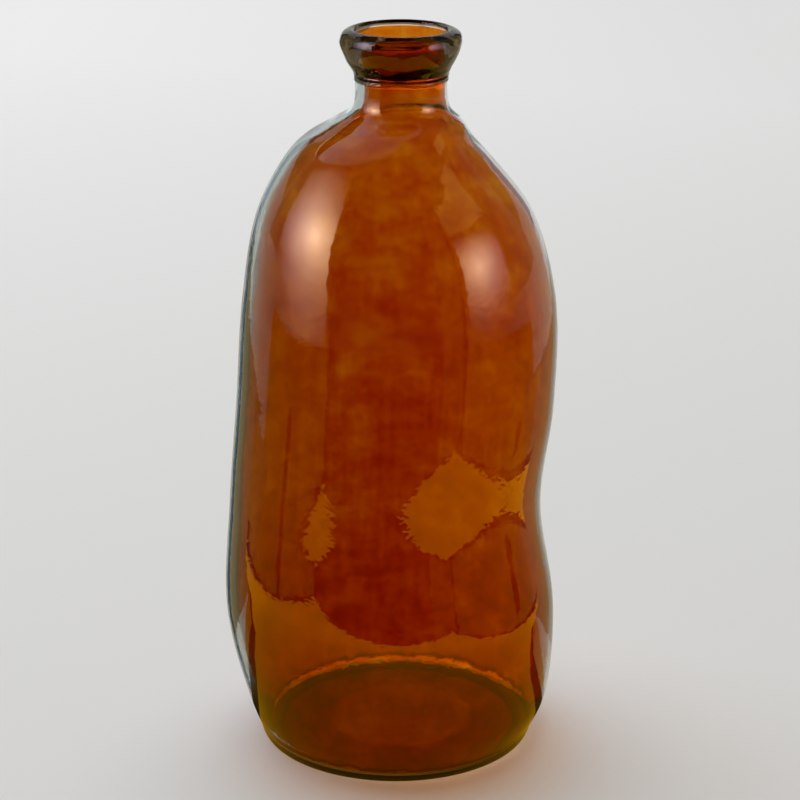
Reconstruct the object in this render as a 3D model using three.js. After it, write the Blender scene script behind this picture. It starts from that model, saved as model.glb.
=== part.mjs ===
// A mouth-blown glass bottle vase, lopsided by hand, with an applied collar and an amber lining.
// Millimetres, +Z up. The origin is on the floor under the middle of the vase, and the front faces -Y.
import * as THREE from 'three';

// Driving dimensions of the outside, station by station from the floor up.
// rise: height above the station below. radius: outside radius of the glass.
// lean: how far the glass has wandered off the upright axis there, to the right.
const HEEL = { rise: 8, radius: 99, lean: 4.1 };
const HAUNCH = { rise: 22, radius: 108, lean: 5 };
const BELLY = { rise: 65, radius: 117.5, lean: 0 };
const WAIST = { rise: 80, radius: 110.5, lean: -3.6 };
const CHEST = { rise: 75, radius: 111.5, lean: 3.6 };
const BREAST = { rise: 75, radius: 108.5, lean: 6.3 };
const SHOULDER = { rise: 60, radius: 94.5, lean: 3.2 };
const SLOPE = { rise: 39, radius: 69.5, lean: -1.4 };
const CROWN = { rise: 13, radius: 57.5, lean: -0.9 };
const NECK_ROOT = { rise: 11, radius: 45, lean: 5 };
const NECK_FOOT = { rise: 10, radius: 33.2, lean: 7.5 };
const NECK_TOP = { rise: 21, radius: 31.2, lean: 7.7 };

// The wall, and how far the hollow lies off centre to the right: the left side is the thicker.
const WALL = 3.6;
const HOLLOW_SHIFT = 1.8;

// The base: a flat ring that the vase rests on, drawn in from the heel, round a pushed-up middle.
const HEEL_DRAW_IN = 4;
const RESTING_RING = 25;
const KICK_RISE = 7;
const BASE_THICKNESS = 4;
const FLOOR_CORNER = 6.5;

// The collar, a thick ring of glass put on the end of the neck and opened into a funnel.
const COLLAR_RISE = 31.2;
const MOUTH_FLARE = 4.1;
const MOUTH_BELOW_CREST = 0.7;
const LIP_THICKNESS = 10.6;
const WIDEST_BELOW_CREST = 8.7;
const FLARE_BULGE = 1.6;

// Shares that place the lip's crest and the roll outside it, from the mouth out to the widest ring.
const CREST_OUT = 0.19;
const ROLL_OUT = 0.8;
const ROLL_DOWN = 0.34;

// The lining, a film of amber lacquer over the whole inside, up to just under the mouth.
const LINING_THICKNESS = 0.5;
const LINING_BELOW_MOUTH = 3;

// The space left between two pieces that touch.
const CLEARANCE = 0.3;

// How finely the round forms are divided.
const SIDES = 40;
const WALL_RINGS = 24;
const KICK_RINGS = 3;
const HEEL_RINGS = 3;
const CORNER_RINGS = 4;
const COLLAR_RINGS = 15;
const FUNNEL_RINGS = 4;

const STATIONS = [
  HEEL, HAUNCH, BELLY, WAIST, CHEST, BREAST, SHOULDER, SLOPE, CROWN, NECK_ROOT, NECK_FOOT, NECK_TOP,
];
const { lerp } = THREE.MathUtils;
const footRadius = HEEL.radius - HEEL_DRAW_IN;
const kickRadius = footRadius - RESTING_RING;

// A ring of the vase: its radius and height, and its centre's lean and its own shift, both to the right.
function ring(radius, height, lean, shift = 0) {
  return { radius, height, lean, shift };
}

// The ring that lies a share of the way from one ring to another.
function ringBetween(from, to, share) {
  return ring(
    lerp(from.radius, to.radius, share),
    lerp(from.height, to.height, share),
    lerp(from.lean, to.lean, share),
    lerp(from.shift, to.shift, share),
  );
}

// The rings of a curve drawn in the plane of radius and height, between the leans of two rings.
function curveRings(curve, count, from, to) {
  return curve.getPoints(count).map((point, index) => {
    const between = ringBetween(from, to, index / count);
    return ring(point.x, point.y, between.lean, between.shift);
  });
}

// The same rings moved off their line by a distance, towards the inside of the vase.
// The rings run from the axis outwards and up.
function movedInwards(rings, distance) {
  return rings.map((here, index) => {
    const before = rings[Math.max(index - 1, 0)];
    const after = rings[Math.min(index + 1, rings.length - 1)];
    const onAxis = here.radius === 0;
    const alongRadius = onAxis ? 1 : after.radius - before.radius;
    const alongHeight = onAxis ? 0 : after.height - before.height;
    const length = Math.hypot(alongRadius, alongHeight);
    const radius = here.radius - (distance * alongHeight) / length;
    const height = here.height + (distance * alongRadius) / length;
    return ring(radius, height, here.lean, here.shift);
  });
}

// The rings above a height, with one ring at that height to start them.
function ringsAbove(rings, height) {
  const next = rings.findIndex((here) => here.height > height);
  const below = rings[next - 1];
  const share = (height - below.height) / (rings[next].height - below.height);
  return [ringBetween(below, rings[next], share), ...rings.slice(next)];
}

// A closed solid from rings that start and end on the axis, or go round and close on themselves.
function turned(name, rings, material) {
  const outline = rings.map((here) => new THREE.Vector2(here.radius, here.height));
  if (rings[0].radius > 0) {
    outline.push(outline[0].clone());
  }
  const geometry = new THREE.LatheGeometry(outline, SIDES);
  geometry.rotateX(Math.PI / 2);
  const position = geometry.attributes.position;
  for (let index = 0; index < position.count; index += 1) {
    const here = rings[(index % outline.length) % rings.length];
    position.setX(index, position.getX(index) + here.lean + here.shift);
  }
  geometry.computeVertexNormals();
  const mesh = new THREE.Mesh(geometry, material);
  mesh.name = name;
  return mesh;
}

// The outside of the wall, as rings on one smooth curve through the stations.
function wallRings() {
  let height = 0;
  const points = STATIONS.map((station) => {
    height += station.rise;
    return new THREE.Vector3(station.radius, station.lean, height);
  });
  const curve = new THREE.CatmullRomCurve3(points);
  return curve.getSpacedPoints(WALL_RINGS).map((point) => ring(point.x, point.z, point.y));
}

// The pushed-up middle of the base at a given height above the floor, from the axis outwards.
function kickRings(height, shift) {
  const rings = [];
  for (let index = 0; index <= KICK_RINGS; index += 1) {
    const share = index / KICK_RINGS;
    const dome = KICK_RISE * Math.cos((share * Math.PI) / 2) ** 2;
    rings.push(ring(kickRadius * share, height + dome, HEEL.lean, shift));
  }
  return rings;
}

const wall = wallRings();
const neckEnd = wall.at(-1).height;
const collarFoot = neckEnd + CLEARANCE;
const crest = collarFoot + COLLAR_RISE;
const mouth = crest - MOUTH_BELOW_CREST;
const liningTop = mouth - LINING_BELOW_MOUTH;

// The inside of the glass, from the middle of the floor out to the corner and up to the neck's end.
function hollowRings() {
  const inside = movedInwards(wall, WALL).map((here) => {
    return ring(here.radius, here.height, here.lean, HOLLOW_SHIFT);
  });
  const side = ringsAbove(inside, BASE_THICKNESS + FLOOR_CORNER);
  side.at(-1).height = neckEnd;
  const low = side[0];
  const floor = kickRings(BASE_THICKNESS, HOLLOW_SHIFT);
  const edge = ring(low.radius - FLOOR_CORNER, BASE_THICKNESS, HEEL.lean, HOLLOW_SHIFT);
  const corner = new THREE.QuadraticBezierCurve(
    new THREE.Vector2(edge.radius, edge.height),
    new THREE.Vector2(low.radius, edge.height),
    new THREE.Vector2(low.radius, low.height),
  );
  const bend = curveRings(corner, CORNER_RINGS, edge, low).slice(0, -1);
  return [...floor, ...bend, ...side];
}

const hollow = hollowRings();
const bore = hollow.at(-1);

// The blown body: kicked-up underside, resting ring, heel, wall and neck, with the hollow inside.
function glassBody() {
  const underside = kickRings(0, 0);
  const foot = ring(footRadius, 0, HEEL.lean);
  const heelCurve = new THREE.QuadraticBezierCurve(
    new THREE.Vector2(footRadius, 0),
    new THREE.Vector2((footRadius + HEEL.radius) / 2, 0),
    new THREE.Vector2(HEEL.radius, HEEL.rise),
  );
  const heel = curveRings(heelCurve, HEEL_RINGS, foot, wall[0]).slice(0, -1);
  const rings = [...underside, ...heel, ...wall, ...hollow.toReversed()];
  const glass = new THREE.MeshStandardMaterial({ color: 0xaeb9b6, roughness: 0.05, metalness: 0 });
  return turned('glass_body', rings, glass);
}

// A ring of the funnel inside the collar, which opens from the neck's bore to the mouth.
function funnelRing(height) {
  const share = (height - collarFoot) / (mouth - collarFoot);
  return ring(bore.radius + MOUTH_FLARE * share ** 2, height, bore.lean, bore.shift * (1 - share));
}

// The funnel's rings, from the neck's bore up to the top of the lining.
function funnelRings() {
  const rings = [];
  for (let index = 0; index <= FUNNEL_RINGS; index += 1) {
    rings.push(funnelRing(lerp(collarFoot, liningTop, index / FUNNEL_RINGS)));
  }
  return rings;
}

const funnel = funnelRings();

// The collar: it flares from the neck's end to its widest ring, then rolls over the crest to the mouth.
function lipCollar() {
  const foot = ring(NECK_TOP.radius, collarFoot, bore.lean);
  const lip = funnelRing(mouth);
  const widest = new THREE.Vector2(lip.radius + LIP_THICKNESS, crest - WIDEST_BELOW_CREST);
  const outside = new THREE.SplineCurve([
    new THREE.Vector2(foot.radius, foot.height),
    new THREE.Vector2((foot.radius + widest.x) / 2 + FLARE_BULGE, (foot.height + widest.y) / 2),
    widest,
    new THREE.Vector2(lip.radius + LIP_THICKNESS * ROLL_OUT, crest - WIDEST_BELOW_CREST * ROLL_DOWN),
    new THREE.Vector2(lip.radius + LIP_THICKNESS * CREST_OUT, crest),
    new THREE.Vector2(lip.radius, lip.height),
  ]);
  const rolled = curveRings(outside, COLLAR_RINGS, foot, foot);
  const glass = new THREE.MeshStandardMaterial({ color: 0x5b4a3d, roughness: 0.05, metalness: 0 });
  return turned('lip_collar', [...rolled, ...funnel.toReversed()], glass);
}

// The lining: it lies on the floor, the wall, the neck and the funnel, across the collar's joint.
function amberLining() {
  const line = [...hollow.slice(0, -1), ...funnel];
  const outer = movedInwards(line, CLEARANCE);
  const inner = movedInwards(line, CLEARANCE + LINING_THICKNESS);
  const lacquer = new THREE.MeshStandardMaterial({ color: 0x93480f, roughness: 0.2, metalness: 0 });
  return turned('amber_lining', [...outer, ...inner.toReversed()], lacquer);
}

const vase = new THREE.Group();
vase.name = 'bottle_vase';
vase.add(glassBody(), lipCollar(), amberLining());

export default vase;
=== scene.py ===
# The looks of a mouth-blown glass bottle vase with an applied collar and an amber lacquer lining.
# Metres, +Z up. The origin is on the floor under the middle of the vase, and the front faces -Y.
import math

import bpy
import numpy as np
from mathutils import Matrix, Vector, noise


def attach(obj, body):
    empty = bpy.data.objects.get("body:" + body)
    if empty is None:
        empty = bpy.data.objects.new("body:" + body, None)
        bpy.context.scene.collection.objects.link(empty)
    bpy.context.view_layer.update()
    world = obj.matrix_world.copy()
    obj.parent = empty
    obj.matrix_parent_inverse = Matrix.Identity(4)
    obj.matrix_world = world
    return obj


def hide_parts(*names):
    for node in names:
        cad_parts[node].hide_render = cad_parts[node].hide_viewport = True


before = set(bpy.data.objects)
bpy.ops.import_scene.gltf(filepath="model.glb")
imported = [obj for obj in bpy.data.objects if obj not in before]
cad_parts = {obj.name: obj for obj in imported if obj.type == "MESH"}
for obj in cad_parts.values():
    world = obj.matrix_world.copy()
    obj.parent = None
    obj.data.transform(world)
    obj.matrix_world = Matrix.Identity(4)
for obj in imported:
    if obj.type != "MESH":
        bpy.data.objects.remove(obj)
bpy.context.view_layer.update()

# Stations of the outside wall from the floor up: height, outside radius, lean to the right.
STATIONS = (
    (0.008, 0.0990, 0.0041),
    (0.030, 0.1080, 0.0050),
    (0.095, 0.1175, 0.0000),
    (0.175, 0.1105, -0.0036),
    (0.250, 0.1115, 0.0036),
    (0.325, 0.1085, 0.0063),
    (0.385, 0.0945, 0.0032),
    (0.424, 0.0695, -0.0014),
    (0.437, 0.0575, -0.0009),
    (0.448, 0.0450, 0.0050),
    (0.458, 0.0332, 0.0075),
    (0.479, 0.0312, 0.0077),
)
HEEL_LEAN = STATIONS[0][2]
NECK_RADIUS = STATIONS[-1][1]
NECK_END = STATIONS[-1][0]

# The wall and the base.
WALL = 0.0036
HOLLOW_SHIFT = 0.0018
FOOT_RADIUS = 0.095
KICK_RADIUS = 0.070
KICK_RISE = 0.007
BASE_THICKNESS = 0.004
FLOOR_CORNER = 0.0065

# The collar and the lining.
CLEARANCE = 0.0003
COLLAR_RISE = 0.0312
MOUTH_FLARE = 0.0041
MOUTH_BELOW_CREST = 0.0007
LIP_THICKNESS = 0.0106
WIDEST_BELOW_CREST = 0.0087
FLARE_BULGE = 0.0016
CREST_OUT = 0.19
ROLL_OUT = 0.8
ROLL_DOWN = 0.34
LINING_THICKNESS = 0.0005
LINING_BELOW_MOUTH = 0.003

# How finely the meshes are divided.
SIDES = 224
LINING_SIDES = 176
CURVE_STEPS = 200
WALL_RINGS = 200
HOLLOW_RINGS = 168
KICK_RINGS = 14
HEEL_RINGS = 8
CORNER_RINGS = 12
COLLAR_RINGS = 72
FUNNEL_RINGS = 30

# The neck has finer rings for its threads, over this height below its end.
NECK_TOP_RINGS = 20
NECK_TOP_REACH = 0.006

# The slow waves of the wall, which move it inwards by a middle share of their depth and a swing round it.
WAVE_DEPTH = 0.0002
WAVE_LENGTH = 0.085
WAVE_MIDDLE = 1.3
WAVE_SWING = 0.5
WAVE_PLACE = Vector((3.1, 7.7, 1.9))

# The waves start above the heel and end below the neck's end, over this height.
WAVE_FROM = 0.004
WAVE_FADE = 0.020

# The ripple on the outside of the glass, drawn out upwards, of coarse noise and some that is finer.
RIPPLE_DEPTH = 0.00016
RIPPLE_LENGTH = 0.022
RIPPLE_UPWARDS = 0.7
RIPPLE_COARSE = 0.6
RIPPLE_FINE = 0.4
RIPPLE_FINER = 2.3
RIPPLE_PLACE = Vector((5.3, 0.4, 8.8))

# The hollows left by tools on the collar, pressed together upwards.
TOOLING_DEPTH = 0.0022
TOOLING_LENGTH = 0.022
TOOLING_FADE = 0.006
TOOLING_UPWARDS = 1.6
TOOLING_PLACE = Vector((1.7, 6.1, 3.3))

# The fine threads of glass round the collar's joint with the neck.
THREAD_HEIGHTS = (0.4766, 0.4784, 0.4802)
THREAD_WIDTH = 0.0005
THREAD_DEPTH = 0.0009
THREAD_LENGTH = 0.02
THREAD_MIDDLE = 0.7
THREAD_LEAST = 0.2
THREAD_PLACE = Vector((9.2, 4.6, 2.2))

# The two glasses: colour and density of the tint in their depth, and the tint of what they mirror.
BODY_GLASS = ((0.45, 0.56, 0.58), 90, (1.0, 0.85, 0.25))
COLLAR_GLASS = ((0.42, 0.36, 0.30), 140, (0.36, 0.36, 0.20))

# Both glasses: how they bend light, the tint of what they mirror under lacquer, and their shadow's tint.
GLASS_IOR = 1.5
LINED_MIRROR = (0.1, 0.08, 0.06)
GLASS_SHADOW = (0.94, 0.95, 0.95)

# The faces of the glass: clear, or smoked on the funnel above the lining, over this height.
CLEAR_FACE = (0.98, 1.0, 0.99)
SMOKED_FACE = (0.32, 0.13, 0.03)
SMOKE_FADE = 0.001

# The dimples in the outside of the glass, too fine for its mesh.
DIMPLE_SCALE = 210
DIMPLE_DETAIL = 1.5
DIMPLE_DEPTH = 0.00006

# The lacquer: the tint of one thickness of it, and the tint of its shadow with its share of the thickness.
LACQUER_TINT = (0.71, 0.19, 0.004)
LACQUER_SHADOW = (0.78, 0.55, 0.32)
SHADOW_SHARE = 0.3
FILM_IOR = 1.001

# The lacquer's clouds, streaks and ragged borders: scale, detail, lowest and highest value, stretch.
CLOUDS = (34, 6, 1.25, 2.75, (1, 1, 1.5))
STREAKS = (150, 2, 0.88, 1.12, (1, 1, 0.08))
JITTER = (85, 5, -0.0024, 0.0024, (1, 1, 1))
CLOUD_ROUGHNESS = 0.62
CLOUD_LOW = 0.3
CLOUD_HIGH = 0.7

# The lacquer's thickness by distance from the axis on the floor of the vase.
FLOOR_COAT = (
    (0.000, 0.28),
    (0.050, 0.30),
    (0.052, 0.62),
    (0.080, 0.66),
    (0.0880, 0.62),
    (0.0890, 0.08),
    (0.100, 0.08),
)

# The lacquer's thickness by height on the wall. It is thin at the corner of the floor and pools above it.
WALL_COAT = (
    (0.000, 0.08),
    (0.0078, 0.08),
    (0.0082, 2.00),
    (0.0110, 2.00),
    (0.0118, 0.60),
    (0.060, 0.76),
    (0.120, 0.60),
    (0.200, 0.46),
    (0.290, 0.53),
    (0.400, 0.36),
    (0.446, 0.36),
    (0.458, 0.40),
    (0.474, 0.42),
    (0.480, 0.62),
    (0.494, 0.60),
    (0.500, 0.40),
)

# The wall's coat begins where the height and this share of the distance from the axis add up to the edge.
FLOOR_SLANT = 0.2
FLOOR_EDGE = 0.0224

# The kinds of rays that things of the studio are shown to.
RAY_KINDS = ("camera", "diffuse", "glossy", "transmission", "volume_scatter", "shadow")
IN_REFLECTIONS = ("glossy",)
THROUGH_GLASS = ("transmission",)
OUTSIDE_REFLECTIONS = ("camera", "diffuse", "transmission", "shadow")

# The table's painted reflection, a glowing card seen in reflections alone: its outline from above, its
# amber glow, which fades in a painted shadow of the vase, and the dark edge round it.
TABLE_CORNERS = (
    (-0.55, -0.52),
    (0.457, -0.535),
    (0.457, 0.22),
    (0.36, 0.06),
    (0.22, 0.0),
    (-0.30, 0.0),
    (-0.45, 0.06),
    (-0.55, 0.20),
)
TABLE_MIDDLE = -0.2
TABLE_LEVEL = -0.001
TABLE_REFLECTION_GLOW = (1.9, 0.95, 0.02)
TABLE_SHADOW_REACH = 0.5
TABLE_EDGE = 0.03
TABLE_EDGE_BELOW = 0.0005

# The mirrored room, painted as glowing cards that reflections alone show: its colours by name.
BLACK = (0.0, 0.0, 0.0)
DARK = (0.02, 0.015, 0.005)
DIM = (0.5, 0.3, 0.01)
ROOM_COLOURS = {
    "dark_room": DARK,
    "dim_room": DIM,
    "panel": (0.36, 0.2, 0.01),
    "warm_sides": (0.5, 0.34, 0.1),
    "pale_back": (0.65, 0.64, 0.62),
    "floor_behind": (0.52, 0.46, 0.36),
    "dark_gap": (0.05, 0.08, 0.1),
    "haze": (1.3, 0.9, 0.4),
}

# The painted highlights of two soft boxes, on glowing cards that reflections alone show: colour in the
# core, the core's place on the face, and how far it spreads.
PAINTED_HIGHLIGHTS = {
    "painted_highlight_left": ((22, 17, 30), (0.68, 0.46), (0.85, 0.54)),
    "painted_highlight_right": ((14, 10.5, 19), (0.36, 0.52), (0.85, 0.52)),
}

# The layers of the room by their distance from its middle, and the height of that middle.
ROOM_RADIUS = 3.0
ROOM_LAYER = 0.1
ROOM_FAR = ROOM_RADIUS + ROOM_LAYER
ROOM_NEAR = ROOM_RADIUS - ROOM_LAYER
LIGHT_RADIUS = 2.0
ROOM_MIDDLE = 0.2

# The room's sectors: name, paint, degrees from the front where it starts and ends, low and high, and layer.
ROOM_SECTORS = (
    ("dark_front", "dark_room", -50, 48, -60, 50, ROOM_FAR),
    ("panel_right", "panel", 31, 46.5, -60, 50, ROOM_RADIUS),
    ("dim_left", "dim_room", -118, -50, -60, 50, ROOM_RADIUS),
    ("dim_right", "dim_room", 48, 118, -60, 50, ROOM_RADIUS),
    ("warm_right", "warm_sides", 118, 146, -60, 40, ROOM_RADIUS),
    ("warm_left", "warm_sides", 214, 242, -60, 40, ROOM_RADIUS),
    ("pale_back", "pale_back", 146, 214, -8, 40, ROOM_RADIUS),
    ("floor_behind", "floor_behind", 146, 214, -60, -8, ROOM_RADIUS),
    ("dark_gap_right", "dark_gap", 147, 157, 0, 30, ROOM_NEAR),
    ("dark_gap_left", "dark_gap", 203, 213, -60, 30, ROOM_NEAR),
    ("dark_ceiling", "dark_room", 0, 360, 40, 90, ROOM_FAR),
    ("painted_highlight_left", "painted_highlight_left", -104, -52, -4, 60, LIGHT_RADIUS),
    ("painted_highlight_right", "painted_highlight_right", 51, 92, -2, 37, LIGHT_RADIUS),
    ("haze_right", "haze", 51, 98, 38.5, 53, LIGHT_RADIUS),
)
SECTOR_COLUMNS = 12
SECTOR_ROWS = 8

# Two thin dark stands beside the table, painted in reflections alone: name, place, and height of the foot.
STANDS = (
    ("stand_left", -0.68, -0.18, -0.03),
    ("stand_right", 0.47, 0.0, 0.03),
)
STAND_TOP = 0.1
STAND_HALF_WIDTH = 0.02

# The backdrop behind the glass, and the dark room above it.
BACKDROP_FAR = 3.0
BACKDROP_TOP = 1.3
BACKDROP_HALF_WIDTH = 4.0
BACKDROP_COLOUR = (0.75, 0.75, 0.74)
ROOM_TOP = 4.0

# The bright glowing card behind the mouth, seen through the glass alone: painted light in the mouth.
MOUTH_LIGHT_LEFT = -0.06
MOUTH_LIGHT_RIGHT = 0.075
MOUTH_LIGHT_BEHIND = 0.16
MOUTH_LIGHT_LOW = 0.437
MOUTH_LIGHT_HIGH = 0.49
MOUTH_LIGHT_COLOUR = (1.7, 1.55, 1.4)

# The dark cards on the floor behind the vase, painted shade that the clear edges show, start this far to
# the side of it and spread backwards.
FLAG_FROM = 0.11
FLAG_SPREAD = 0.34
FLAG_NEAR = 0.12
FLAG_FAR = 1.8
FLAG_REACH = 0.9
FLAG_LEVEL = 0.001
FLAG_COLOUR = (0.05, 0.07, 0.08)

# The glowing rings of floor round the vase, seen through the glass alone, which paint light and shade:
# name, inner and outer radius, degrees where it starts and ends, level.
FLOOR_RINGS = (
    ("painted_amber_light", 0.101, 2.5, -106, 106, 0.0008),
    ("lit_floor", 0.101, 0.114, 130, 230, 0.0008),
    ("contact_shade", 0.084, 0.0975, 0, 360, -0.00015),
)
RING_STEPS = 60
# Their glow: painted amber light that fades in a painted shadow of the vase, a painted pool of light
# behind, and a painted contact shadow at the heel.
AMBER_LIGHT_GLOW = (0.6, 0.2, 0.005)
AMBER_SHADOW_REACH = 0.7
LIT_FLOOR_COLOUR = (0.95, 0.78, 0.5)
CONTACT_COLOUR = (0.14, 0.045, 0.004)

# The pale floor, with painted light: its colour grows brighter backwards.
FLOOR_REACH = 30.0
FLOOR_LEVEL = -0.0003
FLOOR_FRONT = (0.76, 0.76, 0.745)
FLOOR_BACK = (0.96, 0.96, 0.96)
FLOOR_BACKWARDS = {
    "Location": (0.12, 0, 0),
    "Rotation": (0, 0, math.radians(-70)),
    "Scale": (0.4, 0.4, 0.4),
}

# Painted light and shade in the floor's colour: it is a little darker to the right, and has a painted halo
# of amber light close round the vase.
FLOOR_RIGHT = (0.87, 0.87, 0.86)
FLOOR_SIDEWARDS = {"Location": (0.5, 0, 0), "Scale": (0.8, 0.8, 0.8)}
FLOOR_HALO = (1.0, 0.45, 0.12)
HALO_PLACE = {"Location": (-0.08, 0.36, 0), "Scale": (6.2, 6.2, 6.2)}

# The lamp and the light all round.
LAMP_STRENGTH = 2.35
LAMP_WIDTH = math.radians(70)
LAMP_AIM = Vector((0.2, -0.5, -1))
WORLD_COLOUR = (0.98, 0.99, 1.0)
WORLD_STRENGTH = 0.22

# The camera, with its lens and sensor in millimetres.
SENSOR_WIDTH = 36
LENS = 113.67
CAMERA_PLACE = (0.007, -1.67654, 0.81770)
CAMERA_TILT = math.radians(71.2423)
CAMERA_REACH = 50

# Bounces of light that show two walls of glass and lacquer.
ALL_BOUNCES = 24
TRANSMISSION_BOUNCES = 20
TRANSPARENT_BOUNCES = 32
GLOSSY_BOUNCES = 6


def smooth_curve(points, count):
    """Evenly spaced points on a centripetal Catmull-Rom curve through the given points."""
    points = np.array(points, dtype=float)
    first = 2 * points[0] - points[1]
    last = 2 * points[-1] - points[-2]
    posts = np.vstack([first, points, last])
    steps = np.linspace(0, 1, CURVE_STEPS, endpoint=False)[:, None]
    pieces = []
    for before, start, end, after in zip(posts, posts[1:], posts[2:], posts[3:]):
        gap_before = math.sqrt(np.linalg.norm(start - before))
        gap = math.sqrt(np.linalg.norm(end - start))
        gap_after = math.sqrt(np.linalg.norm(after - end))
        leave = (start - before) / gap_before - (end - before) / (gap_before + gap) + (end - start) / gap
        arrive = (end - start) / gap - (after - start) / (gap + gap_after) + (after - end) / gap_after
        leave *= gap
        arrive *= gap
        cubic = 2 * start - 2 * end + leave + arrive
        square = -3 * start + 3 * end - 2 * leave - arrive
        pieces.append(start + leave * steps + square * steps ** 2 + cubic * steps ** 3)
    line = np.vstack(pieces + [points[-1:]])
    travelled = np.concatenate([[0], np.cumsum(np.linalg.norm(np.diff(line, axis=0), axis=1))])
    wanted = np.linspace(0, travelled[-1], count + 1)
    return np.column_stack([np.interp(wanted, travelled, column) for column in line.T])


def bend(start, corner, end, count):
    """Points on a quadratic Bezier curve."""
    share = np.linspace(0, 1, count + 1)[:, None]
    start, corner, end = (np.array(point, dtype=float) for point in (start, corner, end))
    return (1 - share) ** 2 * start + 2 * share * (1 - share) * corner + share ** 2 * end


def rings_of(radius, height, shift):
    """Rings of the vase as rows of radius, height and the centre's shift to the right."""
    return np.column_stack(np.broadcast_arrays(radius, height, shift)).astype(float)


def moved_inwards(rings, distance):
    """The same rings moved off their line towards the inside of the vase."""
    along = np.gradient(rings[:, :2], axis=0)
    along[rings[:, 0] == 0] = (1, 0)
    along /= np.linalg.norm(along, axis=1)[:, None]
    moved = rings.copy()
    moved[:, 0] -= distance * along[:, 1]
    moved[:, 1] += distance * along[:, 0]
    return moved


def wall_rings():
    """The outside of the wall, from the heel to the end of the neck."""
    points = [(radius, height, lean) for height, radius, lean in STATIONS]
    curve = smooth_curve(points, WALL_RINGS)
    finer = np.linspace(NECK_END - NECK_TOP_REACH, NECK_END, NECK_TOP_RINGS)
    neck_top = np.column_stack([np.interp(finer, curve[:, 1], column) for column in curve.T])
    return np.vstack([curve[curve[:, 1] < finer[0]], neck_top])


def kick_rings(height, shift):
    """The pushed-up middle of the base, from the axis outwards."""
    share = np.linspace(0, 1, KICK_RINGS + 1)
    dome = KICK_RISE * np.cos(share * math.pi / 2) ** 2
    return rings_of(KICK_RADIUS * share, height + dome, shift)


def hollow_rings(wall):
    """The inside of the glass, from the middle of the floor out to the corner and up to the neck's end."""
    inside = moved_inwards(wall, WALL)
    inside[:, 2] += HOLLOW_SHIFT
    heights = np.linspace(BASE_THICKNESS + FLOOR_CORNER, NECK_END, HOLLOW_RINGS + 1)
    side = np.column_stack([np.interp(heights, inside[:, 1], column) for column in inside.T])
    floor = kick_rings(BASE_THICKNESS, HEEL_LEAN + HOLLOW_SHIFT)
    low = side[0]
    edge = (low[0] - FLOOR_CORNER, BASE_THICKNESS)
    corner = bend(edge, (low[0], BASE_THICKNESS), low[:2], CORNER_RINGS)
    shift = np.linspace(floor[-1, 2], low[2], CORNER_RINGS + 1)
    corner_rings = rings_of(corner[:, 0], corner[:, 1], shift)
    return np.vstack([floor, corner_rings[:-1], side])


wall = wall_rings()
hollow = hollow_rings(wall)
bore = hollow[-1]
collar_foot = NECK_END + CLEARANCE
crest = collar_foot + COLLAR_RISE
mouth = crest - MOUTH_BELOW_CREST
lining_top = mouth - LINING_BELOW_MOUTH


def funnel_rings(top):
    """The funnel inside the collar, opening from the neck's bore up to a height."""
    height = np.linspace(collar_foot, top, FUNNEL_RINGS + 1)
    share = (height - collar_foot) / (mouth - collar_foot)
    return rings_of(bore[0] + MOUTH_FLARE * share ** 2, height, bore[2] - HOLLOW_SHIFT * share)


def ramp(value, start, length):
    """Rises from 0 at start to 1 a length later."""
    return min(1.0, max(0.0, (value - start) / length))


def from_nought(swell):
    """A swell between -1 and 1 brought to between 0 and 1."""
    return 0.5 + 0.5 * swell


def wave(point):
    """The slow unevenness of the whole wall: how far it falls short of its full radius there."""
    fade = ramp(point.z, WAVE_FROM, WAVE_FADE) * ramp(-point.z, -NECK_END, WAVE_FADE)
    swell = noise.noise(point / WAVE_LENGTH + WAVE_PLACE)
    return -WAVE_DEPTH * fade * (WAVE_MIDDLE + WAVE_SWING * swell)


def ripple(point):
    """The finer ripple on the outside of the glass, always inwards."""
    fade = ramp(point.z, WAVE_FROM, WAVE_FADE)
    near = Vector((point.x, point.y, RIPPLE_UPWARDS * point.z)) / RIPPLE_LENGTH
    coarse = noise.noise(near)
    fine = noise.noise(RIPPLE_FINER * near + RIPPLE_PLACE)
    return -RIPPLE_DEPTH * fade * from_nought(RIPPLE_COARSE * coarse + RIPPLE_FINE * fine)


def threads(point):
    """The fine threads round the joint, here and there broken off."""
    swell = noise.noise(point / THREAD_LENGTH + THREAD_PLACE)
    here = sum(math.exp(-((point.z - middle) / THREAD_WIDTH) ** 2) for middle in THREAD_HEIGHTS)
    return THREAD_DEPTH * here * min(1.0, max(THREAD_LEAST, THREAD_MIDDLE + swell))


def tooling(point):
    """The hollows left by tools on the outside of the collar, always inwards."""
    fade = ramp(point.z, collar_foot, TOOLING_FADE) * ramp(-point.z, -crest, TOOLING_FADE)
    near = Vector((point.x, point.y, TOOLING_UPWARDS * point.z)) / TOOLING_LENGTH
    return -TOOLING_DEPTH * fade * from_nought(noise.noise(near + TOOLING_PLACE))


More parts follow.
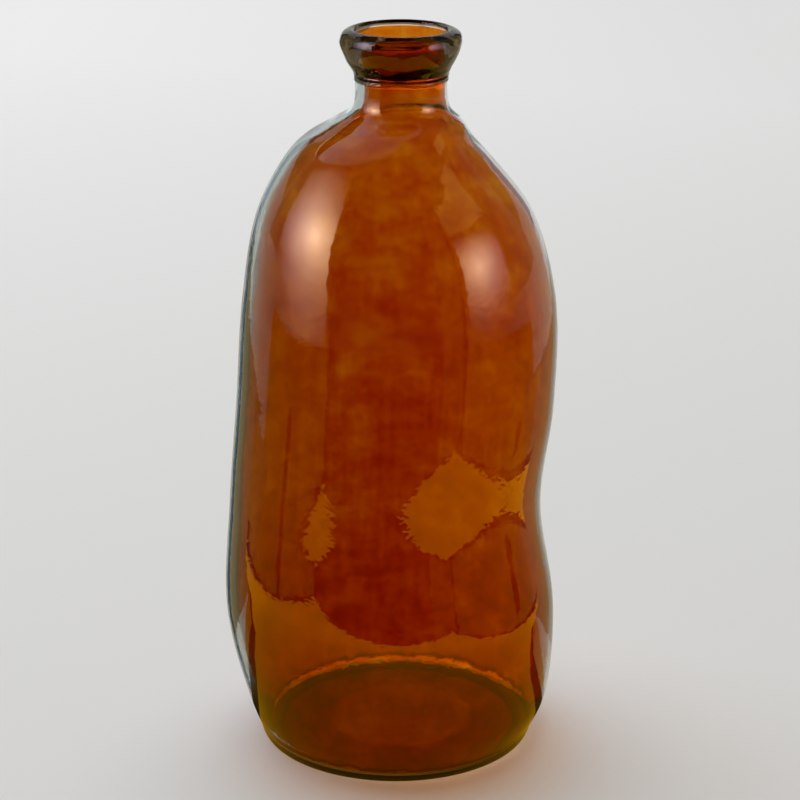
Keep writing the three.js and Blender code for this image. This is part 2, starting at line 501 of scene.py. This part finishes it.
def turned(name, rings, sides, sway, closed=False, lined_from=None, smoke=None):
    """A round mesh from rings. sway gives each point's move away from the axis, as a function.
    The lacquer lies on the rings from lined_from on, and smoke gives how dark each ring's face is."""
    angles = np.linspace(0, 2 * math.pi, sides, endpoint=False)
    verts = []
    lined = []
    smoked = []
    for index, (radius, height, shift) in enumerate(rings.tolist()):
        count = 1 if radius == 0 else sides
        for angle in angles[:count]:
            out = Vector((math.cos(angle), math.sin(angle), 0))
            point = Vector((shift, 0, height)) + radius * out
            verts.append(point + sway(index, point) * out)
            lined.append(0.0 if lined_from is None or index < lined_from else 1.0)
            smoked.append(0.0 if smoke is None else smoke(index, height))
    starts = np.concatenate([[0], np.cumsum(np.where(rings[:, 0] == 0, 1, sides))])
    faces = []
    last = len(rings) if closed else len(rings) - 1
    for index in range(last):
        following = (index + 1) % len(rings)
        here = starts[index]
        there = starts[following]
        for side in range(sides):
            beside = (side + 1) % sides
            if rings[index, 0] == 0:
                faces.append((here, there + beside, there + side))
            elif rings[following, 0] == 0:
                faces.append((here + side, here + beside, there))
            else:
                faces.append((here + side, here + beside, there + beside, there + side))
    mesh = bpy.data.meshes.new(name)
    mesh.from_pydata(verts, [], faces)
    mesh.shade_smooth()
    mesh.attributes.new("lined", "FLOAT", "POINT").data.foreach_set("value", lined)
    mesh.attributes.new("smoked", "FLOAT", "POINT").data.foreach_set("value", smoked)
    piece = bpy.data.objects.new(name, mesh)
    bpy.context.scene.collection.objects.link(piece)
    return piece


def new_material(name):
    """A new material and its node tree, with no nodes in it."""
    material = bpy.data.materials.new(name)
    material.use_nodes = True
    tree = material.node_tree
    tree.nodes.clear()
    return material, tree


def node(tree, kind, inputs, **settings):
    """A new node with its settings. Each input, by name or number, is another node's output or a value."""
    made = tree.nodes.new("ShaderNode" + kind)
    for name, value in settings.items():
        setattr(made, name, value)
    for name, value in inputs.items():
        socket = made.inputs[name]
        if isinstance(value, bpy.types.NodeSocket):
            tree.links.new(value, socket)
        elif socket.type == "RGBA":
            socket.default_value = (*value, 1)
        else:
            socket.default_value = value
    return made


def worked_out(tree, operation, *values):
    """The result of a sum, a product or a comparison."""
    return node(tree, "Math", dict(enumerate(values)), operation=operation).outputs["Value"]


def mixed(tree, share, first, second, blend="MIX"):
    """The first colour turning into its blend with the second as the share rises."""
    mix = node(tree, "MixRGB", {"Fac": share, "Color1": first, "Color2": second}, blend_type=blend)
    return mix.outputs["Color"]


def gradient(tree, place, kind, moved, vector_type="POINT"):
    """A gradient of a kind over places that are moved, turned and scaled first."""
    mapping = node(tree, "Mapping", {"Vector": place, **moved}, vector_type=vector_type)
    fall = node(tree, "TexGradient", {"Vector": mapping.outputs["Vector"]}, gradient_type=kind)
    return fall.outputs["Fac"]


def lets_lamps_through(tree, shader, shadow_tint):
    """The output of a material that is plainly transparent to shadow rays and a shader to all others."""
    path = node(tree, "LightPath", {})
    clear = node(tree, "BsdfTransparent", {"Color": shadow_tint})
    choice = {"Fac": path.outputs["Is Shadow Ray"], 1: shader.outputs["BSDF"], 2: clear.outputs["BSDF"]}
    mix = node(tree, "MixShader", choice)
    return node(tree, "OutputMaterial", {"Surface": mix.outputs["Shader"]})


def glass_material(name, colour, density, shine):
    """Blown glass with a tint in its depth. It mirrors less where the lacquer lies on it."""
    material, tree = new_material(name)
    smoked = node(tree, "Attribute", {}, attribute_name="smoked").outputs["Fac"]
    lined = node(tree, "Attribute", {}, attribute_name="lined").outputs["Fac"]
    place = node(tree, "TexCoord", {}).outputs["Object"]
    dimples = node(tree, "TexNoise", {"Vector": place, "Scale": DIMPLE_SCALE, "Detail": DIMPLE_DETAIL})
    relief = node(tree, "Bump", {
        "Strength": worked_out(tree, "SUBTRACT", 1.0, lined),
        "Distance": DIMPLE_DEPTH,
        "Height": dimples.outputs["Fac"],
    })
    glass = node(tree, "BsdfPrincipled", {
        "Base Color": mixed(tree, smoked, CLEAR_FACE, SMOKED_FACE),
        "Roughness": 0.0,
        "IOR": GLASS_IOR,
        "Transmission Weight": 1.0,
        "Specular Tint": mixed(tree, lined, shine, LINED_MIRROR),
        "Normal": relief.outputs["Normal"],
    })
    output = lets_lamps_through(tree, glass, GLASS_SHADOW)
    depth = node(tree, "VolumeAbsorption", {"Color": colour, "Density": density})
    tree.links.new(depth.outputs["Volume"], output.inputs["Volume"])
    return material


def spotted(tree, place, scale, detail, low, high, stretch):
    """Clouds of noise between a low and a high value."""
    stretched = node(tree, "Mapping", {"Vector": place, "Scale": stretch})
    clouds = node(tree, "TexNoise", {
        "Vector": stretched.outputs["Vector"],
        "Scale": scale,
        "Detail": detail,
        "Roughness": CLOUD_ROUGHNESS,
    })
    spread = node(tree, "MapRange", {
        "Value": clouds.outputs["Fac"],
        "From Min": CLOUD_LOW,
        "From Max": CLOUD_HIGH,
        "To Min": low,
        "To Max": high,
    })
    return spread.outputs["Result"]


def stepped(tree, length, table):
    """A value that follows a table of lengths and values, straight from each to the next."""
    reach = table[-1][0]
    share = node(tree, "MapRange", {"Value": length, "From Max": reach})
    steps = node(tree, "ValToRGB", {"Fac": share.outputs["Result"]})
    elements = steps.color_ramp.elements
    elements.remove(elements[1])
    for index, (at, value) in enumerate(table):
        step = elements[0] if index == 0 else elements.new(at / reach)
        step.position = at / reach
        step.color = (value, value, value, 1)
    return steps.outputs["Color"]


def lacquer_material():
    """Translucent amber lacquer. Its coat is cloudy, streaked, and thicker lower down."""
    material, tree = new_material("amber_lacquer_film")
    place = node(tree, "TexCoord", {}).outputs["Object"]
    height = node(tree, "SeparateXYZ", {"Vector": place}).outputs["Z"]
    middle = (-HEEL_LEAN - HOLLOW_SHIFT, 0, 0)
    flat = node(tree, "Mapping", {"Vector": place, "Location": middle, "Scale": (1, 1, 0)})
    away = node(tree, "VectorMath", {0: flat.outputs["Vector"]}, operation="LENGTH").outputs["Value"]
    jitter = spotted(tree, place, *JITTER)
    on_floor = stepped(tree, worked_out(tree, "ADD", away, jitter), FLOOR_COAT)
    on_wall = stepped(tree, worked_out(tree, "ADD", height, jitter), WALL_COAT)
    slanted = worked_out(tree, "MULTIPLY_ADD", away, FLOOR_SLANT, height)
    level = mixed(tree, worked_out(tree, "GREATER_THAN", slanted, FLOOR_EDGE), on_floor, on_wall)
    clouds = spotted(tree, place, *CLOUDS)
    streaks = spotted(tree, place, *STREAKS)
    cloudy = worked_out(tree, "MULTIPLY", clouds, streaks)
    coat = worked_out(tree, "MULTIPLY", cloudy, level)
    in_shadow = worked_out(tree, "MULTIPLY", coat, SHADOW_SHARE)
    film_tint = node(tree, "Gamma", {"Color": LACQUER_TINT, "Gamma": coat})
    shadow_tint = node(tree, "Gamma", {"Color": LACQUER_SHADOW, "Gamma": in_shadow})
    film = node(tree, "BsdfPrincipled", {
        "Base Color": film_tint.outputs["Color"],
        "Roughness": 0.0,
        "IOR": FILM_IOR,
        "Transmission Weight": 1.0,
    })
    lets_lamps_through(tree, film, shadow_tint.outputs["Color"])
    return material


def glass_body(glass):
    """The blown body: underside, heel, wall and neck outside, and the hollow inside."""
    underside = kick_rings(0.0, HEEL_LEAN)
    heel = bend((FOOT_RADIUS, 0), ((FOOT_RADIUS + wall[0, 0]) / 2, 0), wall[0, :2], HEEL_RINGS)
    heel_rings = rings_of(heel[:-1, 0], heel[:-1, 1], HEEL_LEAN)
    outside_from = len(underside) + len(heel_rings)
    inside_from = outside_from + len(wall)

    def sway(index, point):
        if outside_from <= index < inside_from:
            return wave(point) + ripple(point) + threads(point)
        return wave(point)

    rings = np.vstack([underside, heel_rings, wall, hollow[::-1]])
    piece = turned("glass_body_blown", rings, SIDES, sway, lined_from=inside_from)
    piece.data.materials.append(glass)
    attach(piece, "root")
    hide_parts("glass_body")


def lip_collar(glass):
    """The collar: it flares to its widest ring, then rolls over the crest to the mouth."""
    funnel = funnel_rings(mouth)
    lip_radius = funnel[-1, 0]
    widest = lip_radius + LIP_THICKNESS
    widest_height = crest - WIDEST_BELOW_CREST
    outline = [
        (NECK_RADIUS, collar_foot),
        ((NECK_RADIUS + widest) / 2 + FLARE_BULGE, (collar_foot + widest_height) / 2),
        (widest, widest_height),
        (lip_radius + LIP_THICKNESS * ROLL_OUT, crest - WIDEST_BELOW_CREST * ROLL_DOWN),
        (lip_radius + LIP_THICKNESS * CREST_OUT, crest),
        (lip_radius, mouth),
    ]
    curve = smooth_curve(outline, COLLAR_RINGS)
    rolled = rings_of(curve[:, 0], curve[:, 1], bore[2] - HOLLOW_SHIFT)
    rings = np.vstack([rolled, funnel[::-1][1:]])
    inside_from = len(rolled)

    def sway(index, point):
        if index < inside_from:
            return tooling(point) + threads(point)
        return 0.0

    def smoke(index, height):
        if index < inside_from:
            return 0.0
        return ramp(height, lining_top, SMOKE_FADE)

    piece = turned(
        "lip_collar_tooled", rings, SIDES, sway, closed=True, lined_from=inside_from, smoke=smoke
    )
    piece.data.materials.append(glass)
    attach(piece, "root")
    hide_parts("lip_collar")


def amber_lining():
    """The film of lacquer over the whole inside, up to just under the mouth."""
    line = np.vstack([hollow[:-1], funnel_rings(lining_top)])
    outer = moved_inwards(line, CLEARANCE)
    inner = moved_inwards(line, CLEARANCE + LINING_THICKNESS)
    rings = np.vstack([outer, inner[::-1]])

    def sway(index, point):
        return wave(point)

    piece = turned("amber_lining_film", rings, LINING_SIDES, sway)
    piece.data.materials.append(lacquer_material())
    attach(piece, "root")
    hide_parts("amber_lining")


def stage_mesh(name, verts, faces, material, shown_to):
    """A mesh of the studio, which is not part of the vase, shown to the given kinds of rays alone."""
    mesh = bpy.data.meshes.new(name)
    mesh.from_pydata(verts, [], faces)
    mesh.materials.append(material)
    thing = bpy.data.objects.new(name, mesh)
    bpy.context.scene.collection.objects.link(thing)
    for kind in RAY_KINDS:
        setattr(thing, "visible_" + kind, kind in shown_to)
    return thing


def stage_card(name, corners, material, shown_to):
    """A flat card of the studio."""
    stage_mesh(name, corners, [tuple(range(len(corners)))], material, shown_to)


def upright(left, right, depth, low, high):
    """The corners of an upright rectangle that faces the front."""
    return [(left, depth, low), (right, depth, low), (right, depth, high), (left, depth, high)]


def glow(tree, colour):
    """Makes the surface of a material glow in a colour, the same all over or from another node."""
    shader = node(tree, "Emission", {"Color": colour})
    node(tree, "OutputMaterial", {"Surface": shader.outputs["Emission"]})


def glow_material(name, colour):
    """A plain glowing face of a given colour and strength."""
    material, tree = new_material(name)
    glow(tree, colour)
    return material


def soft_glow_material(name, colour, core, spread):
    """A glowing face that fades from its core, given in the face's own coordinates, out to its rim."""
    material, tree = new_material(name)
    place = node(tree, "UVMap", {}).outputs["UV"]
    moved = {"Location": (*core, 0), "Scale": (*spread, 1)}
    glow(tree, mixed(tree, gradient(tree, place, "QUADRATIC_SPHERE", moved, "TEXTURE"), DIM, colour))
    return material


def painted_shadow_glow_material(name, colour, reach):
    """A glowing surface with a painted shadow of the vase: dark close to the vase and brighter away from
    it.
    """
    material, tree = new_material(name)
    place = node(tree, "TexCoord", {}).outputs["Object"]
    moved = {"Scale": (reach, reach, reach)}
    glow(tree, mixed(tree, gradient(tree, place, "SPHERICAL", moved, "TEXTURE"), colour, BLACK))
    return material


def room_sector(name, material, turn_from, turn_to, low, high, reach):
    """A stretch of the room's round wall between angles in degrees, shown in reflections alone."""
    verts = []
    places = []
    for row in range(SECTOR_ROWS + 1):
        up = math.radians(low + (high - low) * row / SECTOR_ROWS)
        for column in range(SECTOR_COLUMNS + 1):
            turn = math.radians(turn_from + (turn_to - turn_from) * column / SECTOR_COLUMNS)
            out = reach * math.cos(up)
            verts.append((out * math.sin(turn), -out * math.cos(turn), reach * math.sin(up) + ROOM_MIDDLE))
            places.append((column / SECTOR_COLUMNS, row / SECTOR_ROWS))
    faces = []
    for row in range(SECTOR_ROWS):
        for column in range(SECTOR_COLUMNS):
            first = row * (SECTOR_COLUMNS + 1) + column
            above = first + SECTOR_COLUMNS + 1
            faces.append((first, first + 1, above + 1, above))
    sector = stage_mesh(name, verts, faces, material, IN_REFLECTIONS)
    uv = sector.data.uv_layers.new(name="UVMap")
    for loop in sector.data.loops:
        uv.data[loop.index].uv = places[loop.vertex_index]


def grown(corners, distance):
    """Corners moved away from the middle of the table."""
    return [
        (x + math.copysign(distance, x), y + math.copysign(distance, y - TABLE_MIDDLE))
        for x, y in corners
    ]


def mirrored_table():
    """A painted reflection of the table: a glowing card seen in reflections alone, with a dark edge."""
    table = [(x, y, TABLE_LEVEL) for x, y in TABLE_CORNERS]
    table_glow = painted_shadow_glow_material("mirrored_table", TABLE_REFLECTION_GLOW, TABLE_SHADOW_REACH)
    stage_card("mirrored_table", table, table_glow, IN_REFLECTIONS)
    edge = [(x, y, TABLE_LEVEL - TABLE_EDGE_BELOW) for x, y in grown(TABLE_CORNERS, TABLE_EDGE)]
    stage_card("table_edge", edge, glow_material("table_edge", DARK), IN_REFLECTIONS)


def mirrored_room():
    """Painted reflections of the room, on glowing cards that reflections alone show: a dark front, dim
    sides, a pale back, the highlights of two soft boxes, and stands.
    """
    paints = {name: glow_material(name, colour) for name, colour in ROOM_COLOURS.items()}
    for name, (colour, core, spread) in PAINTED_HIGHLIGHTS.items():
        paints[name] = soft_glow_material(name, colour, core, spread)
    for name, paint, turn_from, turn_to, low, high, reach in ROOM_SECTORS:
        room_sector(name, paints[paint], turn_from, turn_to, low, high, reach)
    for name, x, y, foot in STANDS:
        across = upright(x - STAND_HALF_WIDTH, x + STAND_HALF_WIDTH, y, foot, STAND_TOP)
        near = y - STAND_HALF_WIDTH
        far = y + STAND_HALF_WIDTH
        along = [(x, near, foot), (x, far, foot), (x, far, STAND_TOP), (x, near, STAND_TOP)]
        faces = [(0, 1, 2, 3), (4, 5, 6, 7)]
        stage_mesh(name, across + along, faces, paints["dark_room"], IN_REFLECTIONS)


def pale_floor():
    """A pale floor with painted light in its colour: brighter towards the back, and an amber halo close
    round the vase.
    """
    material, tree = new_material("pale_floor")
    place = node(tree, "TexCoord", {}).outputs["Object"]
    paint = mixed(tree, gradient(tree, place, "LINEAR", FLOOR_BACKWARDS), FLOOR_FRONT, FLOOR_BACK)
    sidewards = gradient(tree, place, "LINEAR", FLOOR_SIDEWARDS)
    shaded = mixed(tree, sidewards, paint, FLOOR_RIGHT, "MULTIPLY")
    halo = gradient(tree, place, "QUADRATIC_SPHERE", HALO_PLACE)
    shader = node(tree, "BsdfDiffuse", {"Color": mixed(tree, halo, shaded, FLOOR_HALO, "MULTIPLY")})
    node(tree, "OutputMaterial", {"Surface": shader.outputs["BSDF"]})
    corners = [
        (-FLOOR_REACH, -FLOOR_REACH, FLOOR_LEVEL),
        (FLOOR_REACH, -FLOOR_REACH, FLOOR_LEVEL),
        (FLOOR_REACH, FLOOR_REACH, FLOOR_LEVEL),
        (-FLOOR_REACH, FLOOR_REACH, FLOOR_LEVEL),
    ]
    stage_card("floor", corners, material, OUTSIDE_REFLECTIONS)


def dark_flags():
    """Dark cards behind the vase, left and right, that only light through the clear edges shows: painted
    shade in those edges.
    """
    for name, side in (("flag_left", -1), ("flag_right", 1)):
        corners = [
            (side * (FLAG_FROM + FLAG_SPREAD * FLAG_NEAR), FLAG_NEAR, FLAG_LEVEL),
            (side * FLAG_REACH, FLAG_NEAR, FLAG_LEVEL),
            (side * FLAG_REACH, FLAG_FAR, FLAG_LEVEL),
            (side * (FLAG_FROM + FLAG_SPREAD * FLAG_FAR), FLAG_FAR, FLAG_LEVEL),
        ]
        stage_card(name, corners, glow_material(name, FLAG_COLOUR), THROUGH_GLASS)


def painted_mouth_light():
    """A bright glowing card behind the mouth, which only light through the collar shows: painted light in
    the mouth.
    """
    corners = upright(MOUTH_LIGHT_LEFT, MOUTH_LIGHT_RIGHT, MOUTH_LIGHT_BEHIND, MOUTH_LIGHT_LOW, MOUTH_LIGHT_HIGH)
    stage_card("painted_mouth_light", corners, glow_material("painted_mouth_light", MOUTH_LIGHT_COLOUR), THROUGH_GLASS)


def floor_rings():
    """Glowing rings that paint the floor round the vase as the glass shows it: amber light in front, a pool
    of light behind, and shade at the heel.
    """
    paints = {
        "painted_amber_light": painted_shadow_glow_material("painted_amber_light", AMBER_LIGHT_GLOW, AMBER_SHADOW_REACH),
        "lit_floor": glow_material("lit_floor", LIT_FLOOR_COLOUR),
        "contact_shade": glow_material("contact_shade", CONTACT_COLOUR),
    }
    for name, near, far, turn_from, turn_to, level in FLOOR_RINGS:
        verts = []
        for turn in np.radians(np.linspace(turn_from, turn_to, RING_STEPS + 1)):
            for radius in (near, far):
                verts.append((HEEL_LEAN + radius * math.sin(turn), -radius * math.cos(turn), level))
        faces = [(2 * step, 2 * step + 1, 2 * step + 3, 2 * step + 2) for step in range(RING_STEPS)]
        stage_mesh(name, verts, faces, paints[name], THROUGH_GLASS)


def backdrop():
    """A pale backdrop of limited height with a dark room above it, seen through the glass alone."""
    for name, low, high, colour in (
        ("backdrop", 0.0, BACKDROP_TOP, BACKDROP_COLOUR),
        ("above_backdrop", BACKDROP_TOP, ROOM_TOP, DARK),
    ):
        corners = upright(-BACKDROP_HALF_WIDTH, BACKDROP_HALF_WIDTH, BACKDROP_FAR, low, high)
        stage_card(name, corners, glow_material(name, colour), THROUGH_GLASS)


def sky_lamp():
    """A broad soft light from behind and to the left, so that the shadow falls to the front and right."""
    lamp = bpy.data.lights.new("sky_lamp", "SUN")
    lamp.energy = LAMP_STRENGTH
    lamp.angle = LAMP_WIDTH
    lamp_object = bpy.data.objects.new("sky_lamp", lamp)
    lamp_object.rotation_euler = LAMP_AIM.to_track_quat("-Z", "Y").to_euler()
    bpy.context.scene.collection.objects.link(lamp_object)


def world_light():
    """Even pale light all round."""
    world = bpy.data.worlds.new("pale_room")
    bpy.context.scene.world = world
    world.use_nodes = True
    background = world.node_tree.nodes["Background"]
    background.inputs["Color"].default_value = (*WORLD_COLOUR, 1)
    background.inputs["Strength"].default_value = WORLD_STRENGTH


def camera():
    """A long lens at the photograph's place, looking down on the vase."""
    lens = bpy.data.cameras.new("camera")
    lens.sensor_width = SENSOR_WIDTH
    lens.lens = LENS
    lens.clip_end = CAMERA_REACH
    eye = bpy.data.objects.new("camera", lens)
    eye.location = CAMERA_PLACE
    eye.rotation_euler = (CAMERA_TILT, 0, 0)
    bpy.context.scene.collection.objects.link(eye)
    bpy.context.scene.camera = eye


def colour_and_bounces():
    """A plain view transform, and enough bounces to see through two walls of glass and lacquer."""
    scene = bpy.context.scene
    scene.view_settings.view_transform = "Standard"
    scene.cycles.max_bounces = ALL_BOUNCES
    scene.cycles.transmission_bounces = TRANSMISSION_BOUNCES
    scene.cycles.transparent_max_bounces = TRANSPARENT_BOUNCES
    scene.cycles.glossy_bounces = GLOSSY_BOUNCES


camera()
glass_body(glass_material("blown_clear_glass", *BODY_GLASS))
lip_collar(glass_material("smoky_glass_collar", *COLLAR_GLASS))
amber_lining()
mirrored_table()
mirrored_room()
pale_floor()
dark_flags()
painted_mouth_light()
floor_rings()
backdrop()
sky_lamp()
world_light()
colour_and_bounces()
